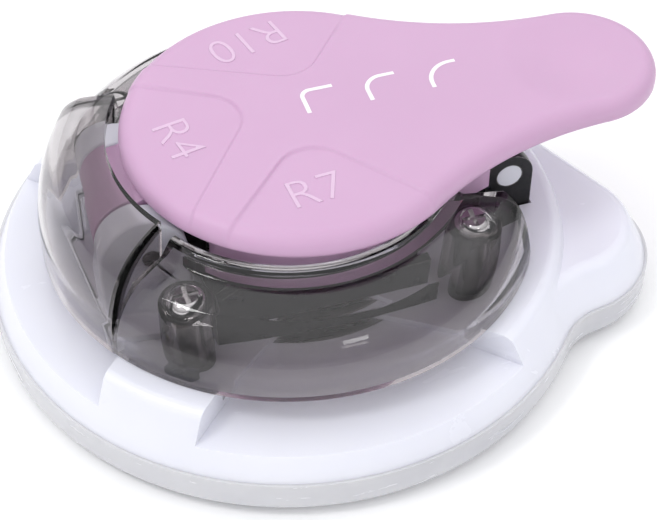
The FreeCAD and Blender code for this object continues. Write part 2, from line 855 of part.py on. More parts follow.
def make_housing():
    """Smoked clear cover: open towards +X, hooded over the lever hinge."""
    body = new_body("housing")
    dome = new_sketch(body, "DomeSection", "XZ_Plane")
    points, bulges = dome_profile()
    add_profile(dome, points, bulges)
    revolve(body, dome)
    hood = new_sketch(body, "HoodSection", "XZ_Plane")
    points, bulges = hood_profile(0)
    add_profile(hood, mirrored(points), {k: -r for k, r in bulges.items()})
    revolve(body, hood, dim("hood_angle"))
    under = new_sketch(body, "DomeSpace", "XZ_Plane")
    points, bulges = dome_profile()
    inside = [(dim("opening_radius") - SLIVER, block_top)] + points[:1] + points[:-4:-1]
    inside.append((dim("opening_radius") - SLIVER, dim("collar_height") - dim("housing_wall") * 0.6))
    add_profile(under, mirrored(inside), {2: bulges[8]})
    revolve(body, under, 360.0, cut=True)
    space = new_sketch(body, "HoodSpace", "XZ_Plane")
    points, bulges = hood_profile(dim("housing_wall"))
    inner = dim("opening_radius") - SLIVER
    over = dim("hood_top") + SLIVER
    points[0] = (inner, block_top)
    points.append((dim("hood_edge_radius"), over))
    points.append((inner, over))
    add_profile(space, mirrored(points), {k: -r for k, r in bulges.items()})
    revolve(body, space, dim("hood_wall_angle"), cut=True)
    above = dim("opening_height") + SLIVER
    gap = new_sketch(body, "FrontCut", offset=above)
    add_front_cut(gap)
    pocket(body, gap, above - block_top)
    bosses = new_sketch(body, "Bosses", offset=web_under)
    for x, y in housing_screw_spots():
        add_circle(bosses, x, y, dim("boss_radius"))
    pad(body, bosses, dim("boss_seat") + dim("boss_rim") - web_under)
    bores = new_sketch(body, "Counterbores", offset=above)
    for x, y in housing_screw_spots():
        add_circle(bores, x, y, dim("counterbore_radius"))
    pocket(body, bores, above - dim("boss_seat"))
    holes = new_sketch(body, "ScrewHoles", offset=dim("boss_seat"))
    for x, y in housing_screw_spots():
        add_circle(holes, x, y, dim("screw_shank_radius") + dim("hole_fit"))
    pocket(body, holes, dim("boss_seat") - web_under)
    return body


def make_housing_screw(name, x, y):
    seat, height = dim("boss_seat"), dim("screw_head_height")
    head, shank = dim("screw_head_radius"), dim("screw_shank_radius")
    tip = dim("screw_tip")
    crown, rim = head * 0.62, seat + height * 0.45
    points = [(0, tip), (shank, tip + dim("screw_point")), (shank, seat), (head, seat), (head, rim),
              (crown, seat + height), (0, seat + height)]
    body = make_turned(name, points, x, y, {4: crown})
    cross = new_sketch(body, name + "_cross", offset=seat + height)
    blade, arm = dim("cross_half_blade"), crown
    add_profile(cross, [
        (-arm, -blade), (-blade, -blade), (-blade, -arm), (blade, -arm), (blade, -blade),
        (arm, -blade), (arm, blade), (blade, blade), (blade, arm), (-blade, arm),
        (-blade, blade), (-arm, blade)])
    pocket(body, cross, dim("cross_depth"))
    return body


make_housing()
for number, (spot_x, spot_y) in enumerate(housing_screw_spots(), start=1):
    make_housing_screw("housing_screw_%d" % number, spot_x, spot_y)


# --------------------------------------------------------------------- lever

def flank_centre():
    """Centre of the hollow flank on the +Y side, the same at every inset."""
    head, end, flank = dim("lever_radius"), dim("handle_radius"), dim("flank_radius")
    span = dim("handle_x").value - dim("lever_x").value
    reach, other = head.value + flank.value, end.value + flank.value
    angle = math.acos((span**2 + reach**2 - other**2) / (2 * span * reach))
    return FreeCAD.Vector(
        dim("lever_x").value + reach * math.cos(angle), reach * math.sin(angle), 0)


def rim_tangents(inset):
    """Where an inset rim passes from head to flank and from flank to handle end."""
    centre = flank_centre()
    points = []
    for x, radius in ((dim("lever_x"), dim("lever_radius") - inset),
                      (dim("handle_x"), dim("handle_radius") - inset)):
        middle = FreeCAD.Vector(x.value, 0, 0)
        point = middle.add(centre.sub(middle).normalize() * radius.value)
        points.append((point.x, point.y))
    return points


def lever_outline(sketch, inset):
    """Round head and round handle end joined by two hollow flanks."""
    head, end = dim("lever_radius") - inset, dim("handle_radius") - inset
    flank = dim("flank_radius") + inset
    (head_x, head_y), (end_x, end_y) = rim_tangents(inset)
    left = (dim("lever_x") - head, 0)
    right = (dim("handle_x") + end, 0)
    points = [(head_x, head_y), left, (head_x, -head_y), (end_x, -end_y), right, (end_x, end_y)]
    add_profile(sketch, points, {0: head, 1: head, 2: -flank, 3: end, 4: end, 5: -flank})


PETALS = {
    "r7": (0.6, -5.0, 226.0, 309.0),
    "r4": (-3.9, 5.2, 151.0, 233.0),
    "r10": (5.6, 8.4, 50.0, 155.0),
}


def add_petal(sketch, tip_x, tip_y, start, finish):
    """A sector that opens from a rounded tip towards the lever's rim."""
    rounding, reach = dim("petal_rounding").value, beyond.value
    angles = [math.radians(a) for a in (start, finish)]
    half = (angles[1] - angles[0]) / 2
    back = rounding / math.tan(half)
    near = [(tip_x + back * math.cos(a), tip_y + back * math.sin(a)) for a in angles]
    far = [(tip_x + reach * math.cos(a), tip_y + reach * math.sin(a)) for a in angles]
    add_profile(sketch, [near[1], near[0], far[0], far[1]], {0: rounding})


def make_lever_cap():
    """Pink cap: round head with three sunk petals, handle with a thumb dish."""
    body = new_body("lever_cap")
    under, top = dim("lever_underside"), dim("lever_top")
    outline = new_sketch(body, "CapOutline", offset=under)
    lever_outline(outline, 0)
    block = pad(body, outline, top - under)
    fillet(body, block, dim("lever_edge_radius"), level_edge(top.value))
    for station, petal in PETALS.items():
        sunk = new_sketch(body, "Petal_" + station, offset=top)
        add_petal(sunk, *petal)
        pocket(body, sunk, dim("petal_depth"))
    dish = new_sketch(body, "DishSection", "XZ_Plane")
    wide, deep = dim("dish_radius"), dim("dish_depth")
    ball = (wide * wide + deep * deep) / (deep * 2)
    over = top + SLIVER
    add_profile(dish, [(0, top - deep), (wide, top), (wide, over), (0, over)], {0: ball})
    dish.AttachmentOffset = FreeCAD.Placement(
        FreeCAD.Vector(dim("handle_x").value, 0, 0), FreeCAD.Rotation())
    dish.setExpression("AttachmentOffset.Base.x", dim("handle_x").text)
    revolve(body, dish, cut=True)
    inside = new_sketch(body, "CapHollow", offset=under)
    lever_outline(inside, dim("cap_rib"))
    pocket(body, inside, top - under - dim("cap_wall"), up=True)
    posts = new_sketch(body, "ScrewPosts", offset=under + dim("core_plate") + dim("core_gap"))
    for x, y in core_screw_spots():
        add_circle(posts, x, y, dim("core_post_radius"))
    pad(body, posts, dim("core_post_height"))
    holes = new_sketch(body, "ScrewHoles", offset=under)
    for x, y in core_screw_spots():
        add_circle(holes, x, y, dim("screw_shank_radius"))
    pocket(body, holes, dim("core_plate") + dim("core_screw_bite") * 1.3, up=True)
    return body


def core_screw_spots():
    reach, x = dim("lever_radius") - dim("core_screw_inset"), dim("lever_x")
    side = reach * math.sqrt(0.75)
    return [(x + reach, 0), (x - reach / 2, side), (x - reach / 2, -side)]


SKIRT_REAR = math.radians(143.0)


def skirt_line(inset):
    """Rear end, tangent point and front end of a line that follows the +Y rim."""
    x = dim("lever_x").value
    head = dim("lever_radius").value - inset.value
    flank = dim("flank_radius").value + inset.value
    centre = flank_centre()
    rear = (x + head * math.cos(SKIRT_REAR), head * math.sin(SKIRT_REAR))
    end = skirt_end_x.value
    end_y = centre.y - math.sqrt(flank**2 - (end - centre.x)**2)
    return [rear, rim_tangents(inset)[0], (end, end_y)]


def add_skirt_wall(sketch, side):
    """One curved wall of the core's skirt, in front (-1) or behind (+1)."""
    outer = dim("skirt_inset")
    inner = outer + dim("skirt_wall")
    points = skirt_line(inner) + skirt_line(outer)[::-1]
    head, flank = dim("lever_radius"), dim("flank_radius")
    bulges = {0: inner - head, 1: flank + inner, 3: -(flank + outer), 4: head - outer}
    add_profile(sketch, [(x, y * side) for x, y in points],
                {index: radius * side for index, radius in bulges.items()})


def make_lever_core():
    """Pink inner moulding: plate, skirt, hinge knuckle and presser boss."""
    body = new_body("lever_core")
    low = dim("lever_underside") + dim("core_gap")
    plate = new_sketch(body, "CorePlate", offset=low)
    add_circle(plate, dim("lever_x"), 0, dim("lever_radius") - dim("cap_rib") - dim("seat_gap"))
    pad(body, plate, dim("core_plate"))
    tongue = new_sketch(body, "CoreTongue", offset=low)
    end_x, end_y = skirt_line(dim("skirt_inset"))[2]
    add_box(tongue, dim("boss_x"), -end_y, end_x, end_y)
    pad(body, tongue, dim("core_plate"))
    x, z = dim("hinge_x"), dim("hinge_z")
    half, radius = dim("knuckle_half_width"), dim("barrel_radius")
    eye = new_sketch(body, "Knuckle", "XZ_Plane", offset=half)
    web_start = dim("lever_x") - dim("lever_radius") + dim("web_rim_gap")
    add_profile(eye, [
        (x, z - radius), (x + radius, z), (x + radius + dim("web_reach"), low),
        (web_start, low), (x, z + radius), (x - radius, z)],
        {0: radius, 4: radius, 5: radius})
    pad(body, eye, half * 2, down=True)
    bore = new_sketch(body, "KnuckleBore", "XZ_Plane", offset=half)
    add_circle(bore, x, z, dim("pin_radius") + dim("hole_fit"))
    pocket(body, bore, half * 2)
    for side in (-1, 1):
        wall = new_sketch(body, "Skirt", offset=low)
        add_skirt_wall(wall, side)
        pad(body, wall, low - dim("skirt_bottom"), down=True)
    boss_x, boss_half = dim("boss_x"), dim("presser_half_width")
    boss_length = dim("presser_half_length")
    boss = new_sketch(body, "PresserBoss", offset=low)
    add_box(boss, boss_x - boss_length, -boss_half, boss_x + boss_length, boss_half)
    pad(body, boss, low - dim("presser_lug_bottom"), down=True)
    pin_z, pin_radius = presser_pin_height(), dim("presser_pin_radius")
    slot = new_sketch(body, "PresserSlot", offset=dim("presser_lug_bottom"))
    slot_half = dim("presser_slot_half_width")
    slot_length = boss_length + SLIVER
    add_box(slot, boss_x - slot_length, -slot_half, boss_x + slot_length, slot_half)
    slot_top = pin_z + pin_radius + dim("presser_pin_clear")
    pocket(body, slot, slot_top - dim("presser_lug_bottom"), up=True)
    pin_bore = new_sketch(body, "PresserPinBore", "XZ_Plane", offset=boss_half)
    add_circle(pin_bore, boss_x, pin_z, pin_radius)
    pocket(body, pin_bore, boss_half * 2)
    ribs = new_sketch(body, "CrossRib", offset=low)
    rib = dim("cap_rib") / 2
    reach = (dim("lever_radius") - dim("skirt_inset")) * 0.95
    add_box(ribs, dim("boss_x") - rib, -reach, dim("boss_x") + rib, reach)
    pad(body, ribs, dim("core_rib_depth"), down=True)
    holes = new_sketch(body, "ScrewHoles", offset=low + dim("core_plate"))
    for spot_x, spot_y in core_screw_spots():
        add_circle(holes, spot_x, spot_y, dim("screw_shank_radius") + dim("hole_fit"))
    pocket(body, holes, dim("core_plate"))
    return body


def make_core_screw(name, x, y):
    seat = dim("lever_underside") + dim("core_gap")
    head, shank = dim("clamp_head_radius"), dim("screw_shank_radius")
    tip = seat + dim("core_plate") + dim("core_screw_bite")
    low = seat - dim("clamp_head_height")
    points = [(0, low), (head, low), (head, seat), (shank, seat), (shank, tip), (0, tip)]
    return make_turned(name, points, x, y)


def presser_pin_height():
    return dim("arm_top") + dim("contact_gap") + dim("presser_pin_radius")


make_lever_cap()
make_lever_core()
for number, (spot_x, spot_y) in enumerate(core_screw_spots(), start=1):
    make_core_screw("core_screw_%d" % number, spot_x, spot_y)
make_cross_pin("presser_pin", dim("presser_pin_radius"), dim("presser_half_width"),
               dim("boss_x"), presser_pin_height())


# -------------------------------------------------------------------- export

def exported_objects():
    kinds = ("PartDesign::Body", "Part::Cylinder", "Part::Feature")
    return [o for o in doc.Objects if o.TypeId in kinds]


doc.recompute()
problems = [o.Name for o in doc.Objects if "Invalid" in o.State or "Error" in o.State]
for node in exported_objects():
    if node.Shape.isNull() or not node.Shape.isValid() or not node.Shape.Solids:
        problems.append(node.Label)
if problems:
    raise RuntimeError("failed objects: " + ", ".join(problems))

os.makedirs("parts", exist_ok=True)
for node in exported_objects():
    node.Shape.exportStep("parts/%s.step" % node.Label)
    print(node.Label, len(node.Shape.Solids), round(node.Shape.Volume, 1))
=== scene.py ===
import json
import math

import bmesh
import bpy
from mathutils import Matrix, Vector


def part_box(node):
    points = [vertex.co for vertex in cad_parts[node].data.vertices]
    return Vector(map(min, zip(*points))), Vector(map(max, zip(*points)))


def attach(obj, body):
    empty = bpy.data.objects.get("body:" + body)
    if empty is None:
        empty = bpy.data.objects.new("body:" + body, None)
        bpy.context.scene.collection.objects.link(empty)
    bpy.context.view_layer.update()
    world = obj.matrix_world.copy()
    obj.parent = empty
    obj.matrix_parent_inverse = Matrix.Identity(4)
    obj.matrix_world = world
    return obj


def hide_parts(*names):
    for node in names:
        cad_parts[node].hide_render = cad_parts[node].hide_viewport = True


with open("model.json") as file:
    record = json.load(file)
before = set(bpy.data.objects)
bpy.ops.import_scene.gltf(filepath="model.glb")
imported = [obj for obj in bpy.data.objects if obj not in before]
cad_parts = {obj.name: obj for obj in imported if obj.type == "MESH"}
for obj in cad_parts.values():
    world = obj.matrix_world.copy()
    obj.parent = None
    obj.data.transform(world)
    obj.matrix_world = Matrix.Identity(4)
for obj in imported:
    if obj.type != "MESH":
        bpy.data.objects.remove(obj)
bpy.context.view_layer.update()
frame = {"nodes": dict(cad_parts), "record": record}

MM = 0.001
NODES = frame["nodes"]


# ------------------------------------------------------------ material tools

def set_range(node, low, high, start, end):
    """Fills in the four limits of a Map Range node."""
    for key, number in (("From Min", low), ("From Max", high),
                        ("To Min", start), ("To Max", end)):
        node.inputs[key].default_value = number


class Shader:
    """A small builder for one procedural material."""

    def __init__(self, name):
        self.material = bpy.data.materials.new(name)
        self.material.use_nodes = True
        self.tree = self.material.node_tree
        self.principled = self.tree.nodes["Principled BSDF"]
        self.space = self.node("ShaderNodeTexCoord").outputs["Object"]

    def node(self, kind, **settings):
        made = self.tree.nodes.new(kind)
        for key, value in settings.items():
            setattr(made, key, value)
        return made

    def link(self, output, node, socket):
        self.tree.links.new(output, node.inputs[socket])

    def set(self, **values):
        for key, value in values.items():
            self.principled.inputs[key.replace("_", " ")].default_value = value

    def noise(self, scale, detail=4.0, rough=0.55, stretch=(1, 1, 1), warp=0.0):
        mapping = self.node("ShaderNodeMapping")
        mapping.inputs["Scale"].default_value = stretch
        self.link(self.space, mapping, "Vector")
        noise = self.node("ShaderNodeTexNoise")
        noise.inputs["Scale"].default_value = scale
        noise.inputs["Detail"].default_value = detail
        noise.inputs["Roughness"].default_value = rough
        noise.inputs["Distortion"].default_value = warp
        self.link(mapping.outputs["Vector"], noise, "Vector")
        return noise.outputs["Fac"]

    def ramp(self, value, low, high, start=0.0, end=1.0):
        """Maps low..high to start..end, clamped."""
        mapped = self.node("ShaderNodeMapRange", clamp=True)
        set_range(mapped, low, high, start, end)
        self.link(value, mapped, "Value")
        return mapped.outputs["Result"]

    def mix(self, factor, first, second):
        """Mixes two colours; each is a colour or an output."""
        mixed = self.node("ShaderNodeMix", data_type="RGBA")
        for socket, value in (("A", first), ("B", second)):
            target = [s for s in mixed.inputs if s.name == socket and s.type == "RGBA"][0]
            if isinstance(value, tuple):
                target.default_value = value
            else:
                self.tree.links.new(value, target)
        self.link(factor, mixed, 0)
        return [s for s in mixed.outputs if s.type == "RGBA"][0]

    def math(self, operation, first, second):
        made = self.node("ShaderNodeMath", operation=operation)
        for index, value in enumerate((first, second)):
            if isinstance(value, (int, float)):
                made.inputs[index].default_value = value
            else:
                self.link(value, made, index)
        return made.outputs["Value"]

    def edges(self, width):
        """High along sharp edges, where paint and gloss wear first."""
        bevel = self.node("ShaderNodeBevel", samples=6)
        bevel.inputs["Radius"].default_value = width
        geometry = self.node("ShaderNodeNewGeometry")
        dot = self.node("ShaderNodeVectorMath", operation="DOT_PRODUCT")
        self.link(bevel.outputs["Normal"], dot, 0)
        self.link(geometry.outputs["Normal"], dot, 1)
        return self.ramp(dot.outputs["Value"], 0.995, 0.86)

    def color(self, output):
        self.link(output, self.principled, "Base Color")

    def rough(self, output):
        self.link(output, self.principled, "Roughness")

    def bump(self, height, distance, strength=1.0, normal=None):
        made = self.node("ShaderNodeBump")
        made.inputs["Distance"].default_value = distance
        made.inputs["Strength"].default_value = strength
        self.link(height, made, "Height")
        if normal is not None:
            self.link(normal, made, "Normal")
        self.link(made.outputs["Normal"], self.principled, "Normal")
        return made.outputs["Normal"]


def white_plastic():
    """Glossy cool-white moulding with faint flow clouds and handling smears."""
    s = Shader("white_plastic")
    clouds = s.noise(38, 3)
    s.color(s.mix(s.ramp(clouds, 0.35, 0.7), (0.80, 0.805, 0.88, 1), (0.77, 0.775, 0.855, 1)))
    smears = s.noise(60, 5, 0.6, (1, 2.4, 1), 0.4)
    s.rough(s.ramp(smears, 0.35, 0.7, 0.22, 0.28))
    first = s.bump(s.noise(900, 2), 0.00001, 0.5)
    s.bump(s.noise(90, 2), 0.00001, 0.4, first)
    s.set(Specular_IOR_Level=0.5, Subsurface_Weight=0.12,
          Subsurface_Radius=(0.004, 0.004, 0.005), Subsurface_Scale=0.6)
    return s.material


def tray_plastic():
    """Milky translucent tray: soft inner glow, fine haze and drag marks."""
    s = Shader("tray_plastic")
    haze = s.noise(55, 4)
    s.color(s.mix(s.ramp(haze, 0.3, 0.7), (0.72, 0.72, 0.75, 1), (0.62, 0.62, 0.66, 1)))
    drag = s.noise(140, 4, 0.6, (1, 1, 5), 0.3)
    s.rough(s.ramp(drag, 0.35, 0.7, 0.16, 0.30))
    s.bump(s.noise(500, 2), 0.00001, 0.5)
    s.set(Subsurface_Weight=0.5, Subsurface_Radius=(0.004, 0.004, 0.0045),
          Subsurface_Scale=1.0, Transmission_Weight=0.12, IOR=1.49)
    return s.material


def smoke_plastic(name, light, dark):
    """Clear grey-tinted acrylic with slight moulding waves and hairlines."""
    s = Shader(name)
    waves = s.noise(45, 2)
    s.color(s.mix(s.ramp(waves, 0.3, 0.7), light, dark))
    hair = s.noise(160, 6, 0.7, (1, 1, 6), 0.2)
    s.rough(s.ramp(hair, 0.45, 0.75, 0.015, 0.06))
    s.bump(waves, 0.00004, 0.4)
    s.set(Transmission_Weight=1.0, IOR=1.47, Specular_IOR_Level=0.6)
    return s.material


def pink_plastic(name, light, dark):
    """Satin pink moulding: fine spark texture, faint tone drift, rubbed spots."""
    s = Shader(name)
    drift = s.noise(30, 3)
    s.color(s.mix(s.ramp(drift, 0.3, 0.7), light, dark))
    rubbed = s.noise(45, 4, 0.6, (1, 1, 1), 0.5)
    s.rough(s.ramp(rubbed, 0.35, 0.7, 0.36, 0.48))
    first = s.bump(s.noise(1500, 3, 0.7), 0.000012, 0.6)
    s.bump(s.noise(70, 2), 0.00003, 0.4, first)
    s.set(Subsurface_Weight=0.15, Subsurface_Radius=(0.004, 0.002, 0.003),
          Subsurface_Scale=0.6, Specular_IOR_Level=0.45)
    return s.material


def black_steel():
    """Black-oxide sheet steel, worn bright along its cut edges."""
    s = Shader("black_steel")
    cloud = s.noise(220, 6, 0.7)
    dark = s.mix(s.ramp(cloud, 0.35, 0.7), (0.012, 0.012, 0.013, 1), (0.03, 0.03, 0.03, 1))
    wear = s.math("MULTIPLY", s.edges(0.00035), s.ramp(s.noise(900, 4), 0.35, 0.6))
    s.color(s.mix(wear, dark, (0.30, 0.29, 0.28, 1)))
    s.rough(s.ramp(cloud, 0.3, 0.7, 0.22, 0.42))
    s.bump(s.noise(1400, 4), 0.00002, 0.6)
    s.set(Metallic=0.6, Specular_IOR_Level=0.5)
    return s.material


def bare_steel():
    """Ground steel with fine scratches along X and a little staining."""
    s = Shader("bare_steel")
    lines = s.noise(900, 4, 0.6, (0.08, 1, 1))
    stain = s.noise(150, 4)
    s.color(s.mix(s.ramp(stain, 0.4, 0.7), (0.56, 0.55, 0.54, 1), (0.40, 0.38, 0.36, 1)))
    s.rough(s.ramp(lines, 0.3, 0.7, 0.22, 0.42))
    s.bump(lines, 0.00002, 0.6)
    s.set(Metallic=1.0)
    return s.material


def spring_steel():
    """Drawn spring wire: bright with faint die lines."""
    s = Shader("spring_steel")
    lines = s.noise(1600, 3, 0.6, (1, 1, 0.2))
    s.color(s.mix(s.ramp(lines, 0.4, 0.7), (0.60, 0.60, 0.60, 1), (0.44, 0.43, 0.43, 1)))
    s.rough(s.ramp(lines, 0.3, 0.7, 0.2, 0.34))
    s.bump(lines, 0.00001, 0.5)
    s.set(Metallic=1.0)
    return s.material


def screw_chrome():
    """Plated screws: bright, with light scuffs round the drive."""
    s = Shader("screw_chrome")
    scuffs = s.noise(1200, 5, 0.6, (1, 1, 1), 0.6)
    s.color(s.mix(s.ramp(scuffs, 0.5, 0.75), (0.78, 0.78, 0.78, 1), (0.58, 0.57, 0.56, 1)))
    s.rough(s.ramp(scuffs, 0.4, 0.75, 0.08, 0.26))
    s.bump(scuffs, 0.00001, 0.5)
    s.set(Metallic=1.0)
    return s.material


def foot_rubber():
    """Dull black rubber with a fine pebble."""
    s = Shader("foot_rubber")
    pebble = s.noise(1300, 3)
    s.color(s.mix(s.ramp(pebble, 0.3, 0.7), (0.02, 0.02, 0.02, 1), (0.05, 0.05, 0.05, 1)))
    s.rough(s.ramp(pebble, 0.3, 0.7, 0.7, 0.9))
    s.bump(pebble, 0.00005, 0.8)
    return s.material


def floor_material():
    """Plain pale studio board."""
    s = Shader("floor_board")
    grain = s.noise(12, 3)
    s.color(s.mix(s.ramp(grain, 0.3, 0.7), (0.97, 0.97, 0.97, 1), (0.955, 0.955, 0.96, 1)))
    s.rough(s.ramp(grain, 0.3, 0.7, 0.7, 0.8))
    return s.material


MATERIALS = {
    "white_plastic": white_plastic(),
    "tray_plastic": tray_plastic(),
    "smoke_plastic": smoke_plastic(
        "smoke_plastic", (0.62, 0.59, 0.60, 1), (0.58, 0.55, 0.56, 1)),
    # darker copy of the smoke plastic for the bosses: partly the deeper tint of the thick
    # posts, partly painted shade for the dark edges that refraction gives their walls
    "boss_smoke_and_painted_shade": smoke_plastic(
        "boss_smoke_and_painted_shade", (0.42, 0.40, 0.385, 1), (0.36, 0.34, 0.33, 1)),
    "pink_plastic": pink_plastic(
        "pink_plastic", (0.575, 0.362, 0.540, 1), (0.552, 0.345, 0.518, 1)),
    # the marks' lighter pink is a painted highlight: the same moulding, lit along its raised
    # strokes
    "pink_mark_painted_highlight": pink_plastic(
        "pink_mark_painted_highlight", (0.700, 0.480, 0.660, 1), (0.680, 0.462, 0.640, 1)),
    "black_steel": black_steel(),
    "bare_steel": bare_steel(),
    "spring_steel": spring_steel(),
    "screw_chrome": screw_chrome(),
    "foot_rubber": foot_rubber(),
}


# ------------------------------------------------------------------ CAD nodes

WELD_DISTANCE = 1e-6
EDGE_ANGLE = math.radians(32)
EDGE_SEGMENTS = 3


def dress_node(node, material, bevel):
    """Gives a CAD node its material, rounded edges and smooth shading."""
    node.data.materials.clear()
    node.data.materials.append(material)
    if bevel:
        weld = node.modifiers.new("weld", "WELD")
        weld.merge_threshold = WELD_DISTANCE
        rounding = node.modifiers.new("edges", "BEVEL")
        rounding.width = bevel
        rounding.segments = EDGE_SEGMENTS
        rounding.limit_method = "ANGLE"
        rounding.angle_limit = EDGE_ANGLE
        rounding.harden_normals = True


BEVELS = {
    "white_plastic": 0.55 * MM,
    "tray_plastic": 0.3 * MM,
    "smoke_plastic": 0.25 * MM,
    "pink_plastic": 0.3 * MM,
    "black_steel": 0.15 * MM,
    "bare_steel": 0.08 * MM,
    "screw_chrome": 0.1 * MM,
    "foot_rubber": 0.15 * MM,
}

for part in frame["record"]["subparts"]:
    slot = part["material_slot"]
    dress_node(NODES[part["node"]], MATERIALS[slot], BEVELS.get(slot, 0))


# ----------------------------------------------------------------- mesh tools

def add_piece(name, points, faces, material, body, smooth=True):
    """A new mesh object that rides on a CAD body."""
    mesh = bpy.data.meshes.new(name)
    mesh.from_pydata([tuple(p) for p in points], [], faces)
    mesh.update()
    for polygon in mesh.polygons:
        polygon.use_smooth = smooth
    piece = bpy.data.objects.new(name, mesh)
    bpy.context.collection.objects.link(piece)
    mesh.materials.append(material)
    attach(piece, body)
    return piece


def ring_faces(count, first, second):
    """Quads between two closed rings of points, given by their first indices."""
    return [(first + i, first + (i + 1) % count, second + (i + 1) % count, second + i)
            for i in range(count)]


def smoothstep(value, low, high):
    """Eases from 0 at low to 1 at high."""
    part = min(max((value - low) / (high - low), 0.0), 1.0)
    return part * part * (3 - 2 * part)


# ------------------------------------------------------------------ lever cap

CAP_LOW, CAP_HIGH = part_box("lever_cap")
HEAD_RADIUS = CAP_HIGH.y
HEAD_X = CAP_LOW.x + HEAD_RADIUS
HANDLE_SHARE, FLANK_SHARE = 0.4595, 2.0946  # of the head's radius
HANDLE_RADIUS = HEAD_RADIUS * HANDLE_SHARE
HANDLE_X = CAP_HIGH.x - HANDLE_RADIUS
FLANK_RADIUS = HEAD_RADIUS * FLANK_SHARE
RIM_ROUND = 2.9 * MM
RIM_SKIN = 2.4 * MM
RIM_FOOT = 0.5 * MM
RIM_EASE = 0.15 * MM
ROLL_STEPS = 10
FACE_STEPS = 90
PETAL_DEPTH = 0.45 * MM
PETAL_ROUND = 6.5 * MM
PETAL_EDGE = 0.55 * MM
DISH_RADIUS = 13.2 * MM
DISH_DEPTH = 1.25 * MM

# the tip of each sunk petal, then the directions of its two sides in degrees
PETALS = (
    ((0.6 * MM, -5.0 * MM), 226.0, 309.0),
    ((-3.9 * MM, 5.2 * MM), 151.0, 233.0),
    ((5.6 * MM, 8.4 * MM), 50.0, 155.0),
)


def flank_centre():
    """Centre of the arc that joins the head's rim to the handle's end."""
    span = HANDLE_X - HEAD_X
    reach, other = HEAD_RADIUS + FLANK_RADIUS, HANDLE_RADIUS + FLANK_RADIUS
    angle = math.acos((span**2 + reach**2 - other**2) / (2 * span * reach))
    return Vector((HEAD_X + reach * math.cos(angle), reach * math.sin(angle)))


def cap_outline(head_steps=420, flank_steps=60, end_steps=70):
    """Rim points, counterclockwise, each with the spine point that it faces."""
    centre = flank_centre()
    head, end = Vector((HEAD_X, 0)), Vector((HANDLE_X, 0))
    head_angle = math.atan2(centre.y, centre.x - HEAD_X)
    end_angle = math.atan2(centre.y, centre.x - HANDLE_X)
    start, finish = head_angle + math.pi, end_angle + math.pi

    def round_pair(middle, radius, angle):
        return middle + radius * Vector((math.cos(angle), math.sin(angle))), middle

    def flank_pair(part, side):
        angle = start + (finish - start) * part
        rim = centre + FLANK_RADIUS * Vector((math.cos(angle), math.sin(angle)))
        spine = centre + (rim - centre) * (centre.y / (centre.y - rim.y))
        return Vector((rim.x, rim.y * side)), spine

    back = 2 * (math.pi - head_angle)
    pairs = [round_pair(head, HEAD_RADIUS, head_angle + back * i / head_steps)
             for i in range(head_steps)]
    pairs += [flank_pair(i / flank_steps, -1) for i in range(flank_steps)]
    pairs += [round_pair(end, HANDLE_RADIUS, end_angle * (2 * i / end_steps - 1))
              for i in range(end_steps)]
    pairs += [flank_pair(1 - i / flank_steps, 1) for i in range(flank_steps)]
    return pairs


def petal_inside(x, y, tip, start, finish):
    """How far a point lies inside a petal with a rounded tip; negative outside."""
    middle, half = math.radians((start + finish) / 2), math.radians((finish - start) / 2)
    dx, dy = x - tip[0], y - tip[1]
    along = dx * math.cos(middle) + dy * math.sin(middle)
    across = abs(dy * math.cos(middle) - dx * math.sin(middle))
    centre = PETAL_ROUND / math.sin(half)
    if along < centre and (centre - along) * math.tan(math.pi / 2 - half) > across:
        return PETAL_ROUND - math.hypot(along - centre, across)
    return along * math.sin(half) - across * math.cos(half)


def cap_drop(x, y):
    """How far the cap's face lies below its highest level."""
    sunk = max(petal_inside(x, y, *petal) for petal in PETALS)
    drop = PETAL_DEPTH * smoothstep(sunk, -PETAL_EDGE / 2, PETAL_EDGE / 2)
    away = math.hypot(x - HANDLE_X, y) / DISH_RADIUS
    if away < 1:
        drop += DISH_DEPTH * (1 - away**2)**1.5
    return drop


def make_cap():
    """The lever's pink cap: crisp petals, thumb dish, rolled rim and hollow underside."""
    pairs = cap_outline()
    count = len(pairs)
    points, faces = [], []

    def add_ring(inset, height):
        """A ring at a distance inside the rim; returns its first index."""
        first = len(points)
        for rim, spine in pairs:
            reach = (rim - spine).length
            flat = spine + (rim - spine) * max(1 - inset / reach, 0.0)
            points.append((flat.x, flat.y, height(flat.x, flat.y)))
        return first

    def face_height(x, y):
        return CAP_HIGH.z - cap_drop(x, y)

    rings = [add_ring(RIM_FOOT, lambda x, y: CAP_LOW.z),
             add_ring(RIM_EASE, lambda x, y: CAP_LOW.z + RIM_EASE),
             add_ring(0.0, lambda x, y: CAP_LOW.z + RIM_FOOT)]
    for i in range(ROLL_STEPS + 1):
        turn = math.pi / 2 * i / ROLL_STEPS
        inset = RIM_ROUND * (1 - math.cos(turn))
        fall = RIM_ROUND * (1 - math.sin(turn))
        rings.append(add_ring(inset, lambda x, y, f=fall: face_height(x, y) - f))
    for i in range(1, FACE_STEPS + 1):
        share = i / FACE_STEPS
        first = len(points)
        for rim, spine in pairs:
            reach = (rim - spine).length
            keep = (1 - RIM_ROUND / reach) * (1 - share)
            flat = spine + (rim - spine) * keep
            points.append((flat.x, flat.y, face_height(flat.x, flat.y)))
        rings.append(first)
    for lower, upper in zip(rings, rings[1:]):
        faces += ring_faces(count, lower, upper)
    under = [rings[0], add_ring(RIM_SKIN * 0.75, lambda x, y: CAP_LOW.z)]
    ceiling = CAP_HIGH.z - RIM_SKIN
    for inset in (RIM_SKIN * 0.75, RIM_SKIN * 1.3, HANDLE_RADIUS * 0.7):
        under.append(add_ring(inset, lambda x, y: ceiling))
    first = len(points)
    points += [(spine.x, spine.y, ceiling) for _, spine in pairs]
    under.append(first)
    for upper, lower in zip(under, under[1:]):
        faces += ring_faces(count, lower, upper)
    piece = add_piece("cap_shell", points, faces, MATERIALS["pink_plastic"], "lever")
    clean_mesh(piece)
    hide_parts("lever_cap")


